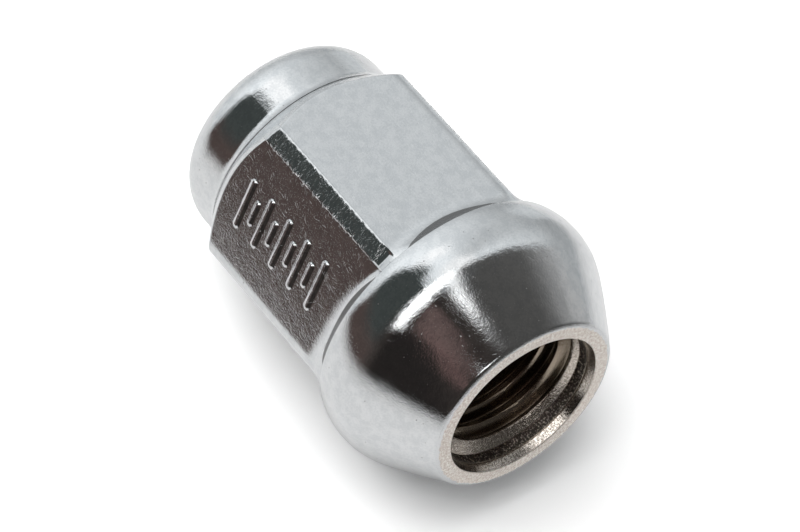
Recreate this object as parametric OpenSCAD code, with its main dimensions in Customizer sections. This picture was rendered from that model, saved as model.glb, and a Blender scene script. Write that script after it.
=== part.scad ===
// Closed-end wheel nut: a hexagon with a domed cap at one end and a bulged
// conical seat with a threaded hole at the other. One solid piece of steel.
// It lies on its side, as it comes to rest: on the widest circle of the bulge
// and on the capped end of one flat, with the mouth facing +X.
// Millimetres. Distances called "from the mouth" run along the nut's axis.

/* [Hexagon] */
// Distance across the flats
across_flats = 19; // [18.5:0.1:19.5]
// Radius on the six long corners
corner_r = 1.25; // [0.8:0.05:1.5]
// Where the corners end and the chamfer starts, from the mouth
corner_end = 24.1; // [23:0.1:25]
// Slope of the chamfer at the capped end, measured from the axis
chamfer_deg = 43; // [40:1:46]
// Radius of the hollow fillet at the foot of each flat
foot_r = 2.8; // [2:0.1:3.4]

/* [Seat and bulge] */
// Largest diameter of the bulge
bulge_d = 22.4; // [22:0.1:23]
// Distance of the largest diameter from the mouth
bulge_at = 7.7; // [7:0.1:8.5]
// Radius of the bulge's rounded crest, in section
bulge_r = 5.7; // [5:0.1:6.5]
// Half angle of the conical seat
seat_half_deg = 30; // [28:0.5:31]
// Edge radius on the rim of the mouth
rim_r = 0.6; // [0.3:0.05:0.8]
// How far the bulge's back edge stands out beyond the corners
edge_step = 0.06; // [0.04:0.01:0.2]

/* [Cap] */
// Diameter of the cap at its foot
cap_d = 17.2; // [16.6:0.1:17.6]
// Height of the cap's straight wall
cap_wall = 2.65; // [2:0.05:3]
// Radius of the cap's shoulder, in section
cap_shoulder_r = 3.2; // [2.6:0.1:3.8]
// Angle at which the shoulder runs into the flatter crown
crown_deg = 70; // [66:1:76]

/* [Threaded hole] */
// Diameter of the hole's wall, at the crests of an M12 x 1.5 thread
hole_d = 10.38; // [10.3:0.01:10.6]
// Depth of the hole's straight wall, from the mouth
hole_depth = 25; // [22:0.5:25.5]
// Point angle of the hole's closed end
point_deg = 118; // [110:1:130]
// Diameter of the counterbore in front of the thread
counterbore_d = 12.2; // [12.1:0.05:12.5]
// Depth of the counterbore, from the mouth
counterbore_depth = 1.65; // [1.2:0.05:2.5]
// Slope of the step from the counterbore to the thread, from the axis
run_in_deg = 50; // [40:1:60]
// Diameter of the mouth at its face
lip_d = 12.7; // [12.6:0.05:13]
// Depth of the bevel inside the mouth
lip_depth = 0.55; // [0.3:0.05:0.8]

/* [Hidden] */
$fn = 128;

apothem = across_flats / 2;
// the rounded corners reach this far from the axis
corner_c = (apothem - corner_r) / cos(30);
corner_rad = corner_c + corner_r;

// section of the bulge: an arc about (bulge_c, bulge_at), a cone tangent to
// it, and a rim arc tangent to the cone and to the mouth's face
bulge_c = bulge_d / 2 - bulge_r;
seat_n = [cos(seat_half_deg), -sin(seat_half_deg)];
seat_p = [bulge_c, bulge_at] + bulge_r * seat_n;
rim_t = rim_r;
// the rim arc's centre lies one rim radius inside the cone
rim_c = (seat_n * seat_p - rim_r - rim_t * seat_n[1]) / seat_n[0];
rim_p = [rim_c, rim_t] + rim_r * seat_n;

// the bulge's back edge is where its arc comes down almost to the corners
edge_rad = corner_rad + edge_step;
edge_at = bulge_at + sqrt(pow(bulge_r, 2) - pow(edge_rad - bulge_c, 2));
// each flat rises towards that edge in a hollow fillet, up to this radius
foot_rad = corner_rad - 0.11;
foot_h = foot_rad - apothem;
foot_len = sqrt(2 * foot_r * foot_h - foot_h * foot_h);

// chamfer and cap
cap_rad = cap_d / 2;
cap_at = corner_end + (corner_rad - cap_rad) / tan(chamfer_deg);
flat_end = corner_end + (corner_rad - apothem) / tan(chamfer_deg);
shoulder_c = cap_rad - cap_shoulder_r;
shoulder_t = cap_at + cap_wall;
crown_rad = cap_shoulder_r + shoulder_c / cos(crown_deg);
crown_t = shoulder_t - shoulder_c * tan(crown_deg);
length_all = crown_t + crown_rad;

// hole
hole_r = hole_d / 2;
counterbore_r = counterbore_d / 2;
run_in_end = counterbore_depth + (counterbore_r - hole_r) / tan(run_in_deg);
point_h = hole_r / tan(point_deg / 2);

// resting pose: the floor touches the bulge's arc and the end of one flat
rest_dr = apothem - bulge_c;
rest_dt = flat_end - bulge_at;
rest_deg = atan2(rest_dt, rest_dr)
         - acos(bulge_r / sqrt(rest_dr * rest_dr + rest_dt * rest_dt));
rest_h = apothem * cos(rest_deg) + flat_end * sin(rest_deg);
// the farthest points along X, at the rim and on the crown
far_x = rim_c * sin(rest_deg) - rim_t * cos(rest_deg) + rim_r;
near_x = -crown_t * cos(rest_deg) - crown_rad;

// section of the bulge, seat and rim, up to the bulge's back edge
module front_section() {
    polygon([[0, 0], [rim_c, 0], rim_p, seat_p, [bulge_c, bulge_at],
             [bulge_c, edge_at], [0, edge_at]]);
    translate([rim_c, rim_t]) circle(r = rim_r);
    intersection() {
        translate([bulge_c, bulge_at]) circle(r = bulge_r);
        translate([0, bulge_at - bulge_r])
            square([bulge_d, edge_at - bulge_at + bulge_r]);
    }
}

// outline of the hexagon, with rounded corners and a flat facing +Y
module hex_section() {
    polygon([for (k = [0:5]) for (s = [-30, 30])
        [corner_c * cos(60 * k) + corner_r * cos(60 * k + s),
         corner_c * sin(60 * k) + corner_r * sin(60 * k + s)]]);
    // a hair over the radius, so that each arc runs cleanly into its flats
    for (k = [0:5]) rotate(60 * k) translate([corner_c, 0]) circle(r = corner_r + 0.004);
}

// the hexagon, cut off by the chamfer's cone at the capped end
module hexagon() {
    under_cap = 0.4;
    top = cap_at + under_cap / tan(chamfer_deg);
    intersection() {
        translate([0, 0, bulge_at]) linear_extrude(top + 1 - bulge_at) hex_section();
        rotate_extrude()
            polygon([[0, 0], [corner_rad + 2, 0],
                     [corner_rad + 2, corner_end - 2 / tan(chamfer_deg)],
                     [cap_rad - under_cap, top], [0, top]]);
    }
}

// the hollow fillets at the feet of the flats: a disc inside the corners,
// with a round trough taken out along each flat
module feet() {
    difference() {
        translate([0, 0, edge_at - 0.9])
            cylinder(r = foot_rad, h = foot_len + 0.9);
        for (k = [0:5]) rotate(60 * k + 30)
            rotate([90, 0, 0]) translate([0, 0, -across_flats])
                linear_extrude(2 * across_flats)
                    translate([apothem - 0.02 + foot_r, edge_at + foot_len])
                        circle(r = foot_r);
    }
}

// section of the cap: straight wall, shoulder arc and crown arc
module cap_section() {
    arc_top = cap_shoulder_r * sin(crown_deg);
    translate([0, cap_at - 1]) square([cap_rad, 1 + cap_wall]);
    translate([0, cap_at - 1]) square([shoulder_c, 1 + cap_wall + arc_top]);
    intersection() {
        translate([shoulder_c, shoulder_t]) circle(r = cap_shoulder_r);
        translate([0, cap_at]) square([cap_d, cap_wall + arc_top]);
    }
    intersection() {
        translate([0, crown_t]) circle(r = crown_rad);
        translate([0, shoulder_t + arc_top - 0.5]) square([cap_d, crown_rad]);
        translate([0, crown_t])
            polygon([[0, 0],
                     [2 * crown_rad * cos(crown_deg), 2 * crown_rad * sin(crown_deg)],
                     [0, 2 * crown_rad]]);
    }
}

// what is taken out: the mouth's bevel, counterbore, run-in and threaded hole
module hole() {
    translate([0, 0, -1]) cylinder(r = hole_r, h = hole_depth + 1);
    translate([0, 0, hole_depth])
        cylinder(r1 = hole_r, r2 = 0, h = point_h);
    translate([0, 0, -1]) cylinder(r = counterbore_r, h = counterbore_depth + 1);
    translate([0, 0, counterbore_depth])
        cylinder(r1 = counterbore_r, r2 = hole_r, h = run_in_end - counterbore_depth);
    cylinder(r1 = lip_d / 2, r2 = counterbore_r, h = lip_depth);
}

// the nut on its own axis, mouth at zero and cap upwards
module nut() {
    difference() {
        union() {
            rotate_extrude() front_section();
            hexagon();
            feet();
            rotate_extrude() cap_section();
        }
        hole();
    }
}

// the nut as it lies
module lug_nut() {
    color([0.74, 0.76, 0.78])
    translate([-(far_x + near_x) / 2, 0, rest_h])
        rotate([0, -90 - rest_deg, 0])
            rotate([0, 0, 30]) nut();
}

lug_nut();
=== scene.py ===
import math

import bpy
import numpy as np
from mathutils import Matrix, Vector


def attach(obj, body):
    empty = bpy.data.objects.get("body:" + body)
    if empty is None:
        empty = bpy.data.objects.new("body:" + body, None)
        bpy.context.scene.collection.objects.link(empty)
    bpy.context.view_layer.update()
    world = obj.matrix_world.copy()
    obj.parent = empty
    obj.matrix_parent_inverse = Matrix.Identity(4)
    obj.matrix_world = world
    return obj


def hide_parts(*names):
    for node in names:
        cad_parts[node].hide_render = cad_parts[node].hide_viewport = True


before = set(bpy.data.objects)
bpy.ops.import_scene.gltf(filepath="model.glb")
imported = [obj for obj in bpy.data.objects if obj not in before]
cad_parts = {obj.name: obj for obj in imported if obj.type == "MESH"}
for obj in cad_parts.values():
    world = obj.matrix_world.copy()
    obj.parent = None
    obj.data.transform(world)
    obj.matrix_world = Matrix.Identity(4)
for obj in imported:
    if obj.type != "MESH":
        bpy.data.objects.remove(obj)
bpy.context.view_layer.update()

# ---------------------------------------------------------------------------
# Dimensions of the nut, in mm. t runs along the nut's axis from the mouth,
# r is the distance from the axis, phi the angle from the upper flat towards -Y.
# ---------------------------------------------------------------------------
APOTHEM = 9.5
CORNER_R = 1.25
CORNER_C = (APOTHEM - CORNER_R) / math.cos(math.radians(30))
CORNER_RAD = CORNER_C + CORNER_R
CORNER_END = 24.1
CHAMFER = math.radians(43)
FOOT_R = 2.8

BULGE_R = 5.7
BULGE_C = 11.2 - BULGE_R
BULGE_AT = 7.7
SEAT = math.radians(30)
RIM_R = 0.6
SEAT_N = (math.cos(SEAT), -math.sin(SEAT))
SEAT_P = (BULGE_C + BULGE_R * SEAT_N[0], BULGE_AT + BULGE_R * SEAT_N[1])
RIM_C = (SEAT_N[0] * SEAT_P[0] + SEAT_N[1] * SEAT_P[1] - RIM_R - RIM_R * SEAT_N[1]) / SEAT_N[0]
EDGE_RAD = CORNER_RAD + 0.06
EDGE_AT = BULGE_AT + math.sqrt(BULGE_R**2 - (EDGE_RAD - BULGE_C) ** 2)

CAP_RAD = 8.6
CAP_AT = CORNER_END + (CORNER_RAD - CAP_RAD) / math.tan(CHAMFER)
FLAT_END = CORNER_END + (CORNER_RAD - APOTHEM) / math.tan(CHAMFER)
SHOULDER_R = 3.2
SHOULDER_C = CAP_RAD - SHOULDER_R
SHOULDER_T = CAP_AT + 2.65
CROWN = math.radians(70)
CROWN_RAD = SHOULDER_R + SHOULDER_C / math.cos(CROWN)
CROWN_T = SHOULDER_T - SHOULDER_C * math.tan(CROWN)

HOLE_R = 5.19
HOLE_DEPTH = 25.0
POINT_H = HOLE_R / math.tan(math.radians(59))
BORE_R = 6.1
BORE_DEPTH = 1.65
RUN_IN = math.radians(50)
RUN_IN_END = BORE_DEPTH + (BORE_R - HOLE_R) / math.tan(RUN_IN)
LIP_R = 6.35
LIP_DEPTH = 0.55
PITCH = 1.5
THREAD_ROOT = 6.0
THREAD_END = 23.4

# how the nut lies: on the bulge's widest circle and on the capped end of a flat
_dr, _dt = APOTHEM - BULGE_C, FLAT_END - BULGE_AT
TILT = math.atan2(_dt, _dr) - math.acos(BULGE_R / math.hypot(_dr, _dt))
REST_H = APOTHEM * math.cos(TILT) + FLAT_END * math.sin(TILT)
_far = RIM_C * math.sin(TILT) - RIM_R * math.cos(TILT) + RIM_R
_near = -CROWN_T * math.cos(TILT) - CROWN_RAD
REST_X = -(_far + _near) / 2


def to_world(r, t, phi):
    """Points in metres, in the part's frame."""
    a, w = r * np.cos(phi), -r * np.sin(phi)
    x = REST_X - t * math.cos(TILT) - a * math.sin(TILT)
    z = REST_H - t * math.sin(TILT) + a * math.cos(TILT)
    return np.stack([x, w, z], -1) * 0.001


# ---------------------------------------------------------------------------
# Columns round the nut. Each corner is a row of arcs (radius, turn, steps) and
# straight runs (length, 0, steps). The one between the upper flat and the marked
# flat has a sharp edge, a strip of its own and a small step down to the flat.
# ---------------------------------------------------------------------------
MARKED = 1
PLAIN_CORNER = [("arc", CORNER_R, 60.0, 8)]
CORNERS = [PLAIN_CORNER] * 6
CORNERS[0] = [("arc", 0.42, 42.0, 7), ("run", 1.1, 0.0, 5), ("arc", 0.2, 28.0, 3), ("arc", 0.25, -10.0, 2)]
CORNERS[5] = [("arc", 0.15, 10.0, 2), ("arc", 1.38, 50.0, 7)]


def corner_outline(parts):
    """Points (n, x) from the end of one flat to the start of the next, in the
    frame of the first: n outwards, x along it."""
    x = n = heading = 0.0
    pts = [(0.0, 0.0)]
    for kind, size, turn, count in parts:
        for _ in range(count):
            a = math.radians(turn) / count
            step = 2 * size * abs(math.sin(a / 2)) if kind == "arc" else size / count
            heading += a / 2
            x += step * math.cos(heading)
            n -= step * math.sin(heading)
            heading += a / 2
            pts.append((n, x))
    start = (APOTHEM - (APOTHEM + n) / 2) / math.cos(math.radians(30)) - x
    return [(APOTHEM + dn, start + dx) for dn, dx in pts]


outlines = [corner_outline(c) for c in CORNERS]
cols_phi, cols_hex, cols_x, cols_flat, cols_corner = [], [], [], [], []
for k in range(6):
    n_end, x_end = outlines[k - 1][-1]
    x_in = -n_end * math.sin(math.radians(60)) + x_end * math.cos(math.radians(60))
    x_out = outlines[k][0][1]
    if k == MARKED:
        xs = np.concatenate([np.linspace(x_in, -1.9, 11)[:-1], np.linspace(-1.9, 2.7, 61), np.linspace(2.7, x_out, 10)[1:]])
    else:
        xs = np.linspace(x_in, x_out, 13)
    for n, x, flat, corner in [(APOTHEM, float(v), k, -1) for v in xs] + [(n, x, -1, k) for n, x in outlines[k][1:-1]]:
        cols_phi.append(math.radians(60 * k) + math.atan2(x, n))
        cols_hex.append(math.hypot(n, x))
        cols_x.append(x)
        cols_flat.append(flat)
        cols_corner.append(corner)
PHI = np.array(cols_phi)
HEX = np.array(cols_hex)
ACROSS = np.array(cols_x)  # distance from the middle of the flat
FLAT = np.array(cols_flat)
WORN = np.array(cols_corner) == 0  # the corner with the sharp edge
DELTA = (PHI + math.radians(30)) % math.radians(60) - math.radians(30)
N = len(PHI)


def hex_radius(apothem):
    """Radius at each column of a rounded hexagon whose corners keep their reach.
    With a larger apothem the corners get rounder, until it is a circle."""
    a = np.broadcast_to(np.asarray(apothem, float), (N,))
    c30 = math.cos(math.radians(30))
    rc = np.clip((a / c30 - CORNER_RAD) / (1 / c30 - 1), 0.0, None)
    cc = (a - rc) / c30
    tangent = np.arctan2(cc * 0.5, a)
    d = np.abs(DELTA)
    eps = math.radians(30) - d
    arc = cc * np.cos(eps) + np.sqrt(np.maximum(rc**2 - (cc * np.sin(eps)) ** 2, 0))
    return np.where(d <= tangent + 1e-9, a / np.cos(d), arc)


OWN_CORNER = HEX - hex_radius(APOTHEM)  # how a corner differs from a plain rounding

# ---------------------------------------------------------------------------
# The mesh: rings from the point of the hole out to the mouth, over the bulge
# and the hexagon, and up to the crown of the cap.
# ---------------------------------------------------------------------------
R, T, P, C = [], [], [], []  # r, t, phi of every vertex, and how far (mm) it lies in a crease that is painted dark as shade and made duller
faces, zones = [], []
PLATE, FACE, INNER = 0, 1, 2


def ring(r, t, shaded_crease=-0.3):
    start = len(R)
    C.extend(np.broadcast_to(shaded_crease, (N,)).tolist())
    R.extend(np.broadcast_to(r, (N,)).tolist())
    T.extend(np.broadcast_to(t, (N,)).tolist())
    P.extend(PHI.tolist())
    return list(range(start, start + N))


def join(a, b, zone):
    for c in range(N):
        d = (c + 1) % N
        faces.append((a[c], a[d], b[d], b[c]))
        zones.append(zone)


def pole(r_t, ring_, zone, first):
    R.append(0.0)
    T.append(r_t)
    P.append(0.0)
    C.append(-0.3)
    v = len(R) - 1
    for c in range(N):
        d = (c + 1) % N
        faces.append((v, ring_[d], ring_[c]) if first else (v, ring_[c], ring_[d]))
        zones.append(zone)


def smoothstep(x):
    x = np.clip(x, 0.0, 1.0)
    return x * x * (3 - 2 * x)


def chain(start, rows, zone):
    last = start
    for row in rows:
        new = ring(*row)
        join(last, new, zone)
        last = new
    return last


# the closed end of the hole
tip = ring(HOLE_R * 0.12, HOLE_DEPTH + POINT_H * 0.88)
pole(HOLE_DEPTH + POINT_H, tip, INNER, True)
last = chain(tip, [(HOLE_R * f, HOLE_DEPTH + POINT_H * (1 - f)) for f in (0.4, 0.7, 0.97)], INNER)
last = chain(last, [(HOLE_R, HOLE_DEPTH - 0.12), (HOLE_R, THREAD_END + 0.6)], INNER)
ring_b = chain(last, [(HOLE_R, THREAD_END)], INNER)

# the thread: right-hand, its rows follow the helix and run out at both ends
ring_a = ring(BORE_R, BORE_DEPTH)
KNOTS = [0.0, 0.085, 0.17, 0.25, 0.35, 0.46, 0.5625, 0.625, 0.6875, 0.79, 0.90]
DEPTHS = [0.03, 0.0, 0.0, 0.03, 0.28, 0.56, 0.775, 0.81, 0.775, 0.56, 0.28]
PER_TURN = len(KNOTS)
TURN_0 = BORE_DEPTH - 0.4
helix = (PHI - PHI[0]) / (2 * math.pi)
helix_cache = {}


def helix_vertex(j, c):
    if (j, c) in helix_cache:
        return helix_cache[(j, c)]
    turn, k = divmod(j, PER_TURN)
    t = TURN_0 + PITCH * (turn + KNOTS[k] - helix[c])
    if t <= BORE_DEPTH + 1e-4:
        v = ring_a[c]
    elif t >= THREAD_END - 1e-4:
        v = ring_b[c]
    else:
        fade = float(smoothstep((THREAD_END - t) / 1.4))
        r = HOLE_R + DEPTHS[k] * fade
        if t < RUN_IN_END:
            r = max(r, BORE_R - (t - BORE_DEPTH) * math.tan(RUN_IN))
        R.append(r)
        T.append(t)
        P.append(float(PHI[c]))
        C.append(-0.3)
        v = len(R) - 1
    helix_cache[(j, c)] = v
    return v


j_last = int(PER_TURN * ((THREAD_END - TURN_0) / PITCH + 2))
for j in range(-PER_TURN, j_last):
    for c in range(N):
        d = (c + 1) % N
        shift = -PER_TURN if d == 0 else 0
        quad = (
            helix_vertex(j + 1, c),
            helix_vertex(j + 1 + shift, d),
            helix_vertex(j + shift, d),
            helix_vertex(j, c),
        )
        quad = [v for i, v in enumerate(quad) if v != quad[i - 1]]
        if len(quad) > 2 and len(set(quad)) == len(quad):
            faces.append(tuple(quad))
            zones.append(INNER)

# counterbore, mouth bevel and mouth face
last = chain(
    ring_a,
    [(BORE_R + 0.004, BORE_DEPTH - 0.05), (BORE_R + 0.004, 1.3), (BORE_R + 0.004, 0.9), (BORE_R + 0.004, LIP_DEPTH + 0.19)],
    INNER,
)
lip = (LIP_R - BORE_R) / (LIP_DEPTH + 0.13)
last = chain(
    last,
    [(BORE_R + 0.012 + lip * (LIP_DEPTH + 0.13 - t), t) for t in (0.62, 0.5, 0.35, 0.2, 0.08)],
    INNER,
)
last = chain(last, [(LIP_R + 0.005, 0.014), (LIP_R + 0.045, 0.0)], FACE)
last = chain(last, [(r, 0.0) for r in (6.5, 6.7, 6.9, 7.1, RIM_C)], FACE)

# rim, cone and bulge
rim = [(RIM_C + RIM_R * math.cos(b), RIM_R + RIM_R * math.sin(b)) for b in np.radians(np.linspace(-90, -33, 9))[1:]]
last = chain(last, rim[:5], FACE)
last = chain(last, rim[5:], PLATE)
# the seat is a hair fuller than a straight cone: its half angle goes from 33 to 27 degrees
seat_a, seat_b = rim[-1], (BULGE_C + BULGE_R * math.cos(math.radians(27)), BULGE_AT - BULGE_R * math.sin(math.radians(27)))
half = [math.radians(33 - 6 * (i + 0.5) / 18) for i in range(18)]
step = math.hypot(seat_b[0] - seat_a[0], seat_b[1] - seat_a[1]) / sum(math.cos(h - math.radians(30)) for h in half)
cone = []
for h in half:
    r0, t0 = cone[-1] if cone else seat_a
    cone.append((r0 + step * math.sin(h), t0 + step * math.cos(h)))
last = chain(last, cone, PLATE)
top = math.asin((EDGE_AT - BULGE_AT) / BULGE_R)
last = chain(
    last,
    [(BULGE_C + BULGE_R * math.cos(b), BULGE_AT + BULGE_R * math.sin(b)) for b in np.linspace(-math.radians(27), top, 27)[1:-1]],
    PLATE,
)
# back edge of the bulge, a little rounded, and the narrow shoulder behind it
SHOULDER_AT = EDGE_AT + 0.06
last = chain(
    last,
    [(EDGE_RAD + 0.006, EDGE_AT - 0.02), (EDGE_RAD - 0.006, EDGE_AT + 0.01), (EDGE_RAD - 0.03, EDGE_AT + 0.032)],
    PLATE,
)
# hollow fillets that run out into the flats
FOOT_H = 1.15
FOOT_LEN = math.sqrt(2 * FOOT_R * FOOT_H - FOOT_H**2)
FOOT_END = SHOULDER_AT + FOOT_LEN


# towards the corners the fillets start nearer to the bulge
pull = np.where(FLAT == MARKED, np.where(ACROSS < 0, 0.06, 0.012), 0.045)
on_flat = np.flatnonzero(FLAT >= 0)
late = (pull * ACROSS**2)[on_flat]
LATE = np.interp(np.arange(N), np.append(on_flat, on_flat + N), np.append(late, late))
# each foot ends under the bulge's edge in a crescent of painted shade, also duller, up to this t
SHADED_CRESCENT = np.where(FLAT == MARKED, 10.82 - 0.065 * ACROSS**2, 11.02 - 0.08 * ACROSS**2)
SHADED_CRESCENT = np.where(FLAT >= 0, SHADED_CRESCENT, 9.3)


# the worn corner dips a little before it rises to that edge
along_worn = np.cumsum(WORN) / WORN.sum()
BESIDE = np.where(WORN, smoothstep(along_worn / 0.4) * smoothstep((1 - along_worn) / 0.25), 0.0)
RISE_AT = 10.55 - 0.25 * along_worn


def foot(t):
    u = np.clip(FOOT_END - LATE - t, 0, FOOT_LEN)
    return FOOT_R - np.sqrt(FOOT_R**2 - u**2)


def foot_radius(t):
    plain = hex_radius(APOTHEM + foot(t))
    fade = 1 - np.clip((10.55 - t) / 0.75, 0, 1) ** 1.2
    dip = plain + OWN_CORNER - 0.12 * smoothstep((11.6 - t) / 1.1)
    rise = np.clip((RISE_AT - t) / (RISE_AT - SHOULDER_AT), 0, 1)
    straight = plain + OWN_CORNER * fade
    return straight + BESIDE * (dip + (EDGE_RAD - 0.03 - dip) * rise - straight)


rows = []
for f in np.linspace(0, 1, 33):
    t = SHOULDER_AT + FOOT_LEN * (1 - math.cos(f * math.pi / 2))
    rows.append((foot_radius(t), t, np.clip(SHADED_CRESCENT - t, -0.3, 0.3)))
last = chain(last, rows, PLATE)

# flats and corners, up to the chamfer, with the raised marks
CREASE = CORNER_END + (CORNER_RAD - HEX) / math.tan(CHAMFER)
EASE = 0.13


def bar(x, t, x0, x1, t0, half, slope):
    """Height, 0 to 1, of a flat-topped bar across the flat from x0 to x1 at t0."""
    dx = np.maximum(np.maximum(x0 + half - x, x - (x1 - half)), 0.0)
    d = np.hypot(dx, t - t0)
    return smoothstep((half - d) / slope)


def marks(x, t):
    """Plain ribs in a row along the flat, all of one kind."""
    h = np.zeros_like(x)
    for i in range(9):
        t0 = 14.05 + 1.13 * i
        lean = 0.12 * (x - 0.4)
        if i % 2 == 0:
            h = np.maximum(h, bar(x, t + lean, -1.6, 2.4, t0, 0.29, 0.12))
        else:
            h = np.maximum(h, bar(x, t + lean, -0.6, 1.4, t0, 0.26, 0.12))
    return h


def chipped(t):
    """Small unevenness along the worn corner."""
    c = np.arange(N) - np.flatnonzero(WORN)[0]
    weight = np.where(c < 7, 1.0, np.where(c < 11, 0.35, 2.4))
    wave = np.sin(15.3 * t + 0.30 * c) + 0.8 * np.sin(23.9 * t + 0.47 * c) + 0.9 * np.sin(5.1 * t - 0.21 * c) + 0.6 * np.sin(9.7 * t + 0.9 * c)
    ends = smoothstep((t - FOOT_END) / 0.4) * smoothstep((CREASE - EASE - t) / 0.4)
    return np.where(WORN, 0.008 * weight * wave * ends, 0.0)


on_mark = FLAT == MARKED
rows = []
for f in np.linspace(0, 1, 141)[1:]:
    t = FOOT_END + f * (CREASE - EASE - FOOT_END)
    lift = np.where(on_mark, 0.15 * marks(ACROSS, t), chipped(t))
    rows.append((HEX + lift / np.cos(DELTA), t))
last = chain(last, rows, PLATE)
rows = []
for f in (0.2, 0.4, 0.6, 0.8, 1.0):
    p0 = (HEX, CREASE - EASE)
    p2 = (HEX - EASE * math.sin(CHAMFER), CREASE + EASE * math.cos(CHAMFER))
    rows.append(
        (
            (1 - f) ** 2 * p0[0] + 2 * f * (1 - f) * HEX + f * f * p2[0],
            (1 - f) ** 2 * p0[1] + 2 * f * (1 - f) * CREASE + f * f * p2[1],
        )
    )
last = chain(last, rows, PLATE)
r_in = rows[-1][0]
t_in = rows[-1][1]
FLARE = 1.35
LIP_R_CAP = CAP_RAD + 0.077 + FLARE * (1 - math.cos(math.radians(41)))
LIP_T_CAP = CAP_AT - (LIP_R_CAP - CAP_RAD) / math.tan(CHAMFER) + 0.17
rows = []
for f in (0.17, 0.34, 0.5, 0.67, 0.84, 1.0):
    crown = 0.16 * f * (1 - f)
    rows.append((r_in + (LIP_R_CAP - r_in) * f + crown * math.cos(CHAMFER), t_in + (LIP_T_CAP - t_in) * f + crown * math.sin(CHAMFER)))
last = chain(last, rows, PLATE)

# fine groove at the foot of the cap, painted dark as shade and duller, a small flare, then the cap's wall
last = chain(
    last,
    [
        (LIP_R_CAP - 0.02, LIP_T_CAP + 0.04, 0.0),
        (LIP_R_CAP - 0.10, LIP_T_CAP + 0.065, 0.3),
        (LIP_R_CAP - 0.135, LIP_T_CAP + 0.095, 0.3),
        (LIP_R_CAP - 0.10, LIP_T_CAP + 0.13, 0.3),
        (LIP_R_CAP - 0.077, LIP_T_CAP + 0.15, 0.0),
    ],
    PLATE,
)
FLARE_END = LIP_T_CAP + 0.155 + FLARE * math.sin(math.radians(41))
last = chain(
    last,
    [(CAP_RAD + FLARE * (1 - math.cos(b)), FLARE_END - FLARE * math.sin(b)) for b in np.radians((41, 36, 31, 26, 21, 16, 11, 6, 0))],
    PLATE,
)
last = chain(last, [(CAP_RAD, FLARE_END + (SHOULDER_T - FLARE_END) * f) for f in np.linspace(0, 1, 9)[1:]], PLATE)
last = chain(
    last,
    [(SHOULDER_C + SHOULDER_R * math.cos(b), SHOULDER_T + SHOULDER_R * math.sin(b)) for b in np.linspace(0, CROWN, 21)[1:]],
    PLATE,
)
last = chain(
    last,
    [(CROWN_RAD * math.cos(b), CROWN_T + CROWN_RAD * math.sin(b)) for b in np.linspace(CROWN, math.pi / 2, 15)[1:-1]],
    PLATE,
)
pole(CROWN_T + CROWN_RAD, last, PLATE, False)

R, T, P, C = np.array(R), np.array(T), np.array(P), np.array(C)


def vertex_normals(co, polys):
    """Area-weighted, so that a wide flat face stays flat beside a narrow rounding."""
    tris = np.array([(p[0], p[i], p[i + 1]) for p in polys for i in range(1, len(p) - 1)])
    n = np.cross(co[tris[:, 1]] - co[tris[:, 0]], co[tris[:, 2]] - co[tris[:, 0]])
    out = np.zeros_like(co)
    for i in range(3):
        np.add.at(out, tris[:, i], n)
    return out / np.maximum(np.linalg.norm(out, axis=1, keepdims=True), 1e-20)


co = to_world(R, T, P)
volume = 0.0
for p in faces[:: max(1, len(faces) // 20000)]:
    volume += float(np.dot(co[p[0]], np.cross(co[p[1]], co[p[2]])))
normals = vertex_normals(co * 1000, faces)
# outward is away from the axis on the crown's ring
outward = normals[last[0]] @ (co[last[0]] - to_world(np.array(0.0), np.array(16.0), np.array(0.0)))
if outward < 0:
    faces = [tuple(reversed(p)) for p in faces]
    normals = -normals

mesh = bpy.data.meshes.new("lug_nut_body")
mesh.from_pydata(co.tolist(), [], faces)
mesh.polygons.foreach_set("material_index", np.array(zones, np.int32))
mesh.polygons.foreach_set("use_smooth", np.ones(len(faces), bool))
worn = np.zeros(len(R))
worn_at = np.isin(P, PHI[WORN]) & (T > SHOULDER_AT + 0.6) & (T < CORNER_END + 1.0) & (R > APOTHEM)
worn[worn_at] = smoothstep((T[worn_at] - SHOULDER_AT - 0.6) / 0.6)
for name, values in (("along", T), ("rad", R), ("shaded_crease", C), ("worn", worn)):
    mesh.attributes.new(name, "FLOAT", "POINT").data.foreach_set("value", values.astype(np.float32))
own = np.stack([R * np.cos(P), -R * np.sin(P), T], -1)
mesh.attributes.new("own", "FLOAT_VECTOR", "POINT").data.foreach_set("vector", own.astype(np.float32).ravel())
# round the axis, and along the section of the cap
turned = np.stack([np.cos(P), np.sin(P), T + np.where(T > CAP_AT, np.maximum(CAP_RAD - R, 0), 0)], -1)
mesh.attributes.new("turned", "FLOAT_VECTOR", "POINT").data.foreach_set("vector", turned.astype(np.float32).ravel())
mesh.update()
mesh.normals_split_custom_set_from_vertices(normals.tolist())
nut = bpy.data.objects.new("lug_nut_body", mesh)
bpy.context.scene.collection.objects.link(nut)

# ---------------------------------------------------------------------------
# Materials
# ---------------------------------------------------------------------------


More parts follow.
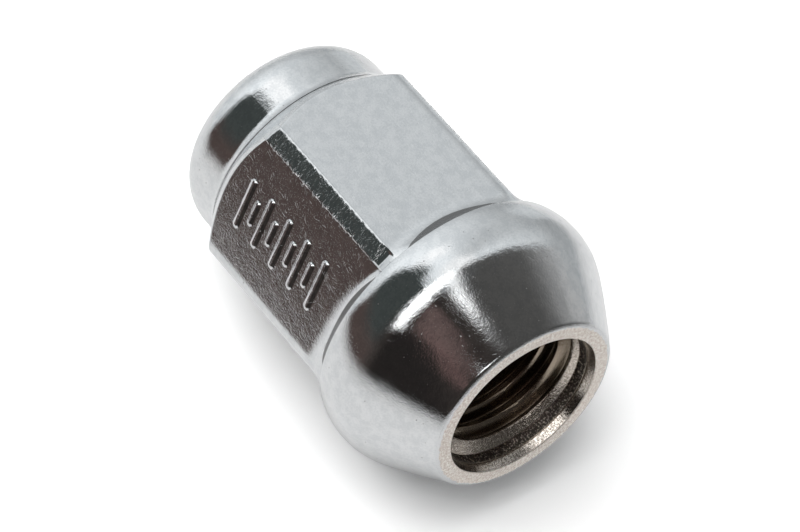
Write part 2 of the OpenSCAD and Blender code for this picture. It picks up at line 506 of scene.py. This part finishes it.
class Tree:
    """Short names for making and linking nodes."""

    def __init__(self, tree):
        self.tree = tree
        tree.nodes.clear()

    def node(self, kind, **settings):
        n = self.tree.nodes.new(kind)
        for key, value in settings.items():
            setattr(n, key, value)
        return n

    def put(self, socket, value):
        if isinstance(value, bpy.types.NodeSocket):
            self.tree.links.new(value, socket)
        elif value is not None:
            socket.default_value = value

    def math(self, op, a, b=None, c=None, clamp=False):
        n = self.node("ShaderNodeMath", operation=op, use_clamp=clamp)
        for i, v in enumerate((a, b, c)):
            if v is not None:
                self.put(n.inputs[i], v)
        return n.outputs[0]

    def vec(self, op, a, b=None, scale=None):
        n = self.node("ShaderNodeVectorMath", operation=op)
        self.put(n.inputs[0], a)
        if b is not None:
            self.put(n.inputs[1], b)
        if scale is not None:
            self.put(n.inputs["Scale"], scale)
        return n.outputs["Value"] if op in ("DOT_PRODUCT", "LENGTH", "DISTANCE") else n.outputs[0]

    def attr(self, name, vector=False):
        n = self.node("ShaderNodeAttribute", attribute_name=name)
        return n.outputs["Vector"] if vector else n.outputs["Fac"]

    def noise(self, vector, scale, detail=2.0, rough=0.5, lac=2.0, distortion=0.0):
        n = self.node("ShaderNodeTexNoise")
        self.put(n.inputs["Vector"], vector)
        for key, value in (("Scale", scale), ("Detail", detail), ("Roughness", rough), ("Lacunarity", lac), ("Distortion", distortion)):
            self.put(n.inputs[key], value)
        return n.outputs["Fac"]

    def remap(self, value, a, b, c=0.0, d=1.0, smooth=True):
        n = self.node("ShaderNodeMapRange", interpolation_type="SMOOTHSTEP" if smooth else "LINEAR")
        for key, v in (("Value", value), ("From Min", a), ("From Max", b), ("To Min", c), ("To Max", d)):
            self.put(n.inputs[key], v)
        return n.outputs[0]

    def mix(self, factor, a, b):
        n = self.node("ShaderNodeMix", data_type="RGBA")
        self.put(n.inputs[0], factor)
        self.put(n.inputs[6], a)
        self.put(n.inputs[7], b)
        return n.outputs[2]

    def blend(self, factor, a, b):
        n = self.node("ShaderNodeMix", data_type="FLOAT")
        self.put(n.inputs[0], factor)
        self.put(n.inputs[2], a)
        self.put(n.inputs[3], b)
        return n.outputs[0]

    def bump(self, height, strength, distance, normal=None):
        n = self.node("ShaderNodeBump")
        n.inputs["Strength"].default_value = strength
        n.inputs["Distance"].default_value = distance
        self.put(n.inputs["Height"], height)
        if normal is not None:
            self.put(n.inputs["Normal"], normal)
        return n.outputs[0]


def product(k, *factors):
    value = factors[0]
    for f in factors[1:]:
        value = k.math("MULTIPLY", value, f)
    return value


def material(name):
    m = bpy.data.materials.new(name)
    m.use_nodes = True
    k = Tree(m.node_tree)
    out = k.node("ShaderNodeOutputMaterial")
    bsdf = k.node("ShaderNodeBsdfPrincipled")
    k.tree.links.new(bsdf.outputs[0], out.inputs["Surface"])
    return m, k, bsdf


# bright plating: orange peel and fine grain everywhere, drawing lines along the
# hexagon and the bulge, turning lines round the cap, a few pits, and creases with painted shade and more roughness
plating, k, bsdf = material("plated_steel")
own = k.attr("own", True)
cap = k.remap(k.attr("along"), 25.2, 25.8)
shaded_crease = k.remap(k.attr("shaded_crease"), -0.04, 0.05)
flats = k.math("MULTIPLY", k.remap(k.attr("along"), 10.6, 11.8), k.remap(k.attr("along"), 25.0, 25.6, 1.0, 0.0))
peel = k.noise(own, 6.0, 3.0, 0.6)
speckle = k.noise(own, 12.0, 2.0, 0.5)
broad = k.noise(own, 1.3, 2.0, 0.5)
grain = k.noise(own, 20.0, 2.0, 0.5)
drawn = k.noise(k.vec("MULTIPLY", own, (9.0, 9.0, 0.8)), 1.0, 3.0, 0.6)
rings = k.noise(k.vec("MULTIPLY", k.attr("turned", True), (4.0, 4.0, 11.0)), 1.0, 3.0, 0.6)
lines = k.blend(cap, drawn, rings)
rough_corner = k.noise(k.vec("MULTIPLY", own, (2.5, 2.5, 6.0)), 1.0, 3.0, 0.6)
# fine bent scratches, here and there
bent = k.math("FRACT", k.math("MULTIPLY", k.noise(own, 0.55, 1.0, 0.4), 14.0))
scratch = k.remap(k.math("ABSOLUTE", k.math("SUBTRACT", bent, 0.5)), 0.0, 0.12, 1.0, 0.0)
scratch = k.math("MULTIPLY", scratch, k.remap(k.noise(own, 2.1, 2.0, 0.5), 0.50, 0.60))
cells = k.node("ShaderNodeTexVoronoi")
k.put(cells.inputs["Vector"], own)
cells.inputs["Scale"].default_value = 1.7
chance = k.node("ShaderNodeSeparateColor")
k.tree.links.new(cells.outputs["Color"], chance.inputs[0])
pit = k.math("MULTIPLY", k.remap(cells.outputs["Distance"], 0.05, 0.10, 1.0, 0.0), k.remap(chance.outputs[0], 0.62, 0.66))
bsdf.inputs["Metallic"].default_value = 1.0
mottle = k.math("MULTIPLY_ADD", broad, 0.5, k.math("MULTIPLY", peel, 0.5))
shade = k.mix(k.remap(mottle, 0.38, 0.62), (0.62, 0.635, 0.645, 1), (0.71, 0.72, 0.725, 1))
shade = k.mix(pit, shade, (0.25, 0.24, 0.23, 1))
# painted shade: the creases under the bulge's edge and the groove at the foot of the cap are darkened in the base
# colour
k.put(bsdf.inputs["Base Color"], k.mix(shaded_crease, shade, (0.19, 0.19, 0.19, 1)))
dull = k.math("MAXIMUM", pit, shaded_crease)
k.put(bsdf.inputs["Roughness"], k.blend(dull, k.remap(grain, 0.3, 0.7, 0.025, 0.07), 0.3))
height = k.math("MULTIPLY", peel, k.blend(flats, 5.5, 10.0))
for part, amount in ((speckle, 2.2), (broad, 8.0), (lines, k.blend(cap, k.blend(flats, 1.8, 3.4), 7.5)), (grain, 0.7), (pit, -6.0), (scratch, k.blend(flats, -1.3, -3.2))):
    height = k.math("MULTIPLY_ADD", part, amount, height)
height = k.math("MULTIPLY_ADD", k.math("MULTIPLY", rough_corner, k.attr("worn")), 36.0, height)
k.put(bsdf.inputs["Normal"], k.bump(height, 1.0, 0.000001))

# the machined face of the mouth, with an uneven edge to the plating
machined, k, bsdf = material("mouth_face")
own = k.attr("own", True)
turn = k.noise(own, 5.0, 3.0, 0.65)
fine = k.noise(own, 24.0, 2.0, 0.5)
speck = k.math("MULTIPLY_ADD", fine, 0.5, k.math("MULTIPLY", turn, 0.5))
plated = k.remap(k.math("MULTIPLY_ADD", k.noise(own, 2.6, 3.0, 0.6), -0.45, k.attr("rad")), 7.09, 7.17)
bsdf.inputs["Metallic"].default_value = 1.0
shade = k.mix(k.remap(speck, 0.42, 0.58), (0.66, 0.565, 0.50, 1), (1.0, 0.975, 0.925, 1))
k.put(bsdf.inputs["Base Color"], k.mix(plated, shade, (0.66, 0.67, 0.68, 1)))
k.put(bsdf.inputs["Roughness"], k.blend(plated, k.remap(turn, 0.3, 0.7, 0.42, 0.58), 0.14))
k.put(bsdf.inputs["Normal"], k.bump(speck, 0.8, 0.00004))

# the bore and the thread
threaded, k, bsdf = material("thread_steel")
own = k.attr("own", True)
grain = k.noise(own, 14.0, 3.0, 0.6)
coarse = k.noise(own, 6.5, 3.0, 0.65)
bsdf.inputs["Metallic"].default_value = 1.0
along = k.attr("along")
shade = k.mix(grain, (0.24, 0.19, 0.145, 1), (0.44, 0.375, 0.30, 1))
wall = product(k, k.remap(along, 0.72, 0.84), k.remap(along, 1.58, 1.64, 1.0, 0.0))
start = product(k, k.remap(along, 1.64, 1.70), k.remap(along, 2.35, 2.55, 1.0, 0.0))
shade = k.mix(wall, shade, k.mix(k.remap(coarse, 0.50, 0.66), (0.14, 0.12, 0.105, 1), (0.95, 0.87, 0.79, 1)))
shade = k.mix(start, shade, k.mix(k.remap(coarse, 0.42, 0.62), (0.44, 0.39, 0.34, 1), (0.76, 0.695, 0.625, 1)))
shade = k.mix(k.remap(along, 0.62, 0.78, 1.0, 0.0), shade, k.mix(k.remap(coarse, 0.40, 0.58), (0.36, 0.32, 0.28, 1), (0.70, 0.65, 0.59, 1)))
# painted shade: a thin dark line at the outer end of the mouth's bevel, next to the face
k.put(bsdf.inputs["Base Color"], k.mix(k.remap(along, 0.05, 0.13, 1.0, 0.0), shade, (0.05, 0.045, 0.04, 1)))
rough = k.blend(wall, k.remap(grain, 0.3, 0.7, 0.13, 0.24), 0.42)
k.put(bsdf.inputs["Roughness"], k.blend(k.remap(along, 0.62, 0.78), 0.10, rough))
height = k.math("MULTIPLY_ADD", k.noise(own, 5.0, 3.0, 0.6), 1.5, grain)
k.put(bsdf.inputs["Normal"], k.bump(k.math("MULTIPLY", height, k.blend(wall, k.blend(start, 1.0, 2.2), 6.5)), 0.4, 0.00002))

for m in (plating, machined, threaded):
    mesh.materials.append(m)

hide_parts("lug_nut")
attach(nut, "root")

# ---------------------------------------------------------------------------
# Floor, light and camera
# ---------------------------------------------------------------------------
floor_mesh = bpy.data.meshes.new("floor")
steps = 96
ring_pts = [(0.6 * math.cos(2 * math.pi * i / steps), 0.6 * math.sin(2 * math.pi * i / steps), 0.0) for i in range(steps)]
floor_mesh.from_pydata(ring_pts, [], [tuple(range(steps))])
floor = bpy.data.objects.new("floor", floor_mesh)
bpy.context.scene.collection.objects.link(floor)

# a pale sheet; in reflections it ends softly a hand's breadth from the nut
pale = bpy.data.materials.new("pale_floor")
pale.use_nodes = True
k = Tree(pale.node_tree)
out = k.node("ShaderNodeOutputMaterial")
path = k.node("ShaderNodeLightPath")
seen = path.outputs["Is Camera Ray"]
place = k.node("ShaderNodeTexCoord").outputs["Object"]
far = k.vec("LENGTH", k.vec("MULTIPLY", place, (1.0, 1.0, 0.0)))
sheet = k.remap(far, 0.03, 0.12, 1.0, 0.0)
diffuse = k.node("ShaderNodeBsdfDiffuse")
k.put(diffuse.inputs["Color"], k.mix(seen, (0.93, 0.93, 0.93, 1), (1.45, 1.45, 1.45, 1)))
clear = k.node("ShaderNodeBsdfTransparent")
both = k.node("ShaderNodeMixShader")
k.put(both.inputs[0], k.math("MAXIMUM", seen, sheet))
k.tree.links.new(clear.outputs[0], both.inputs[1])
k.tree.links.new(diffuse.outputs[0], both.inputs[2])
k.tree.links.new(both.outputs[0], out.inputs["Surface"])
floor_mesh.materials.append(pale)

# the studio: a soft box overhead, pale screens behind, a dark room in front
# with one tall lamp, all soft-edged; the camera itself sees plain white
world = bpy.data.worlds.new("studio")
bpy.context.scene.world = world
world.use_nodes = True
k = Tree(world.node_tree)
out = k.node("ShaderNodeOutputWorld")
way = k.vec("NORMALIZE", k.node("ShaderNodeTexCoord").outputs["Generated"])
split = k.node("ShaderNodeSeparateXYZ")
k.put(split.inputs[0], way)
deg = 180.0 / math.pi
ripple = k.noise(way, 3.0, 3.0, 0.55)
jag = k.noise(way, 16.0, 3.0, 0.6)
az = k.math("MULTIPLY", k.math("ARCTAN2", split.outputs[1], split.outputs[0]), deg)
el = k.math("MULTIPLY", k.math("ARCSINE", split.outputs[2]), deg)
wave = k.math("MULTIPLY", k.math("SUBTRACT", ripple, 0.5), 9.0)
wave = k.math("MULTIPLY_ADD", k.math("SUBTRACT", jag, 0.5), 6.0, wave)
az_w = k.math("ADD", az, wave)
el_w = k.math("MULTIPLY_ADD", wave, 0.7, el)


def window(value, a, b, c, d):
    """Rises from a to b and falls from c to d."""
    return product(k, k.remap(value, a, b), k.remap(value, c, d, 1.0, 0.0))


# pale screens behind, brighter towards -X
turn = k.math("MULTIPLY_ADD", k.math("LESS_THAN", az, 0.0), 360.0, az)
pale_tone = product(k, k.remap(turn, 110.0, 190.0, 0.48, 1.22, smooth=False), k.remap(el, -2.0, 30.0, 0.71, 1.0))
pale_tone = k.math("ADD", pale_tone, product(k, k.remap(turn, 92.0, 134.0, 1.0, 0.0), k.remap(el, 8.0, 66.0, 0.16, 0.55, smooth=False)))
pale_tone = k.math("ADD", pale_tone, product(k, window(turn, 112.0, 119.0, 126.0, 136.0), k.remap(el, 4.0, 14.0, 0.3, 0.0)))
screens = k.vec("SCALE", (0.965, 1.0, 1.02), scale=pale_tone)
# the dark room in front
edge = k.math("ADD", k.remap(el, 0.0, 35.0, -148.0, -158.0), k.remap(el, 45.0, 65.0, 0.0, 6.0))
roof = k.math("ADD", k.remap(az, -150.0, -60.0, 64.0, 72.0), k.remap(az, -20.0, 30.0, 0.0, 7.0))
dark = product(
    k,
    k.remap(k.math("SUBTRACT", az_w, edge), -3.0, 4.0),
    k.remap(az_w, 84.5, 88.0, 1.0, 0.0),
    k.remap(k.math("SUBTRACT", el_w, roof), -5.0, 5.0, 1.0, 0.0),
)
room = k.mix(k.remap(az, -106.0, -84.0), (0.062, 0.071, 0.069, 1), (0.045, 0.038, 0.035, 1))
room = k.mix(product(k, k.remap(el, 2.0, 20.0, 1.0, 0.0), k.remap(az, -100.0, -84.0, 1.0, 0.0)), room, (0.098, 0.073, 0.067, 1))
room = k.mix(product(k, window(az, -86.0, -78.0, -64.0, -56.0), k.remap(el, 28.0, 36.0, 1.0, 0.0)), room, (0.024, 0.021, 0.020, 1))
room = k.mix(k.remap(az, -34.0, 30.0), room, (0.094, 0.092, 0.089, 1))
room = k.mix(product(k, k.remap(az, 46.0, 88.0), k.remap(el, 4.0, 46.0, 1.0, 0.05)), room, (0.55, 0.55, 0.55, 1))
room = k.mix(product(k, window(az_w, -67.0, -59.0, -48.0, -41.0), window(el_w, 33.0, 40.0, 53.0, 60.0)), room, (0.165, 0.115, 0.108, 1))
room = k.mix(product(k, window(az_w, -58.5, -56.5, -53.0, -51.0), window(el, 20.0, 24.0, 38.0, 42.0)), room, (0.20, 0.125, 0.118, 1))
colour = k.mix(dark, screens, room)
# a tall lamp, wider at its top, with a bar across its foot, and a small lamp beside it
left = k.remap(el, 38.0, 70.0, -91.0, -99.0, smooth=False)
right = k.remap(el, 40.0, 66.0, -78.0, -66.0, smooth=False)
az_j = k.math("MULTIPLY_ADD", k.math("SUBTRACT", jag, 0.5), 8.0, az)
az_j = k.math("MULTIPLY_ADD", k.math("SUBTRACT", k.noise(way, 32.0, 2.0, 0.6), 0.5), 13.0, az_j)
lamp = product(
    k,
    k.remap(k.math("SUBTRACT", az_j, left), -0.9, 0.9),
    k.remap(k.math("SUBTRACT", az_j, right), -0.9, 0.9, 1.0, 0.0),
    k.remap(el_w, 36.0, 39.5),
)
foot_line = k.math("SUBTRACT", el, k.math("MULTIPLY_ADD", az, 0.27, 55.8))
strip = product(k, window(foot_line, -2.2, -1.2, 1.2, 2.2), window(az_j, -91.0, -88.0, -75.0, -71.0))
glow = product(k, window(az, -28.0, -16.0, -12.0, 12.0), k.remap(el, 56.0, 62.0), 0.45)
colour = k.mix(glow, colour, (0.36, 0.36, 0.36, 1))
side = product(k, window(az_j, -33.0, -27.0, -16.0, -10.0), window(el_w, 63.0, 66.0, 69.0, 72.0), 0.7)
low = product(k, window(az_j, -38.0, -35.0, -15.0, -11.0), window(el_w, 34.0, 36.5, 41.0, 43.5))
sky = k.mix(window(az, -114.0, -102.0, -60.0, -44.0), (1.25, 1.25, 1.25, 1), (1.5, 1.5, 1.5, 1))
sky = k.mix(window(az_w, -14.0, 4.0, 84.5, 88.0), sky, (0.11, 0.11, 0.11, 1))
colour = k.mix(k.remap(el_w, 70.0, 79.0), colour, sky)
lamps = k.math("MAXIMUM", k.math("MAXIMUM", lamp, strip), k.math("MAXIMUM", side, low))
colour = k.mix(lamps, colour, (3.0, 3.0, 3.0, 1))
# a soft glow on the screens
halo = product(k, window(turn, 160.0, 180.0, 188.0, 208.0), window(el, 40.0, 50.0, 54.0, 64.0))
colour = k.mix(halo, colour, (1.4, 1.4, 1.4, 1))
# the floor is lit softly from above, a little from behind, and the camera sees plain white
path = k.node("ShaderNodeLightPath")
above = k.vec("DOT_PRODUCT", way, (-0.210, -0.235, 0.949))
even = k.vec("SCALE", (1.0, 1.0, 1.0), scale=k.remap(above, 0.72, 0.985, 0.15, 3.35))
colour = k.mix(path.outputs["Is Diffuse Ray"], colour, even)
colour = k.mix(path.outputs["Is Camera Ray"], colour, (1.0, 1.0, 1.0, 1))
world.cycles.sampling_method = "NONE"
back = k.node("ShaderNodeBackground")
k.put(back.inputs["Color"], colour)
k.tree.links.new(back.outputs[0], out.inputs["Surface"])

cam = bpy.data.cameras.new("camera")
cam.sensor_width = 36.0
cam.lens = 173.49
cam.shift_x, cam.shift_y = 0.0072, -0.0076
cam.clip_start, cam.clip_end = 0.01, 10.0
camera = bpy.data.objects.new("camera", cam)
bpy.context.scene.collection.objects.link(camera)
right = Vector((0.56485, 0.81606, 0.12201))
up = Vector((-0.70761, 0.40292, 0.58037))
right.normalize()
up = (up - right * up.dot(right)).normalized()
behind = right.cross(up)
spot = Vector((0.11919, -0.11596, 0.23578))
camera.matrix_world = Matrix(
    (
        (right.x, up.x, behind.x, spot.x),
        (right.y, up.y, behind.y, spot.y),
        (right.z, up.z, behind.z, spot.z),
        (0, 0, 0, 1),
    )
)
bpy.context.scene.camera = camera
bpy.context.scene.view_settings.view_transform = "Standard"
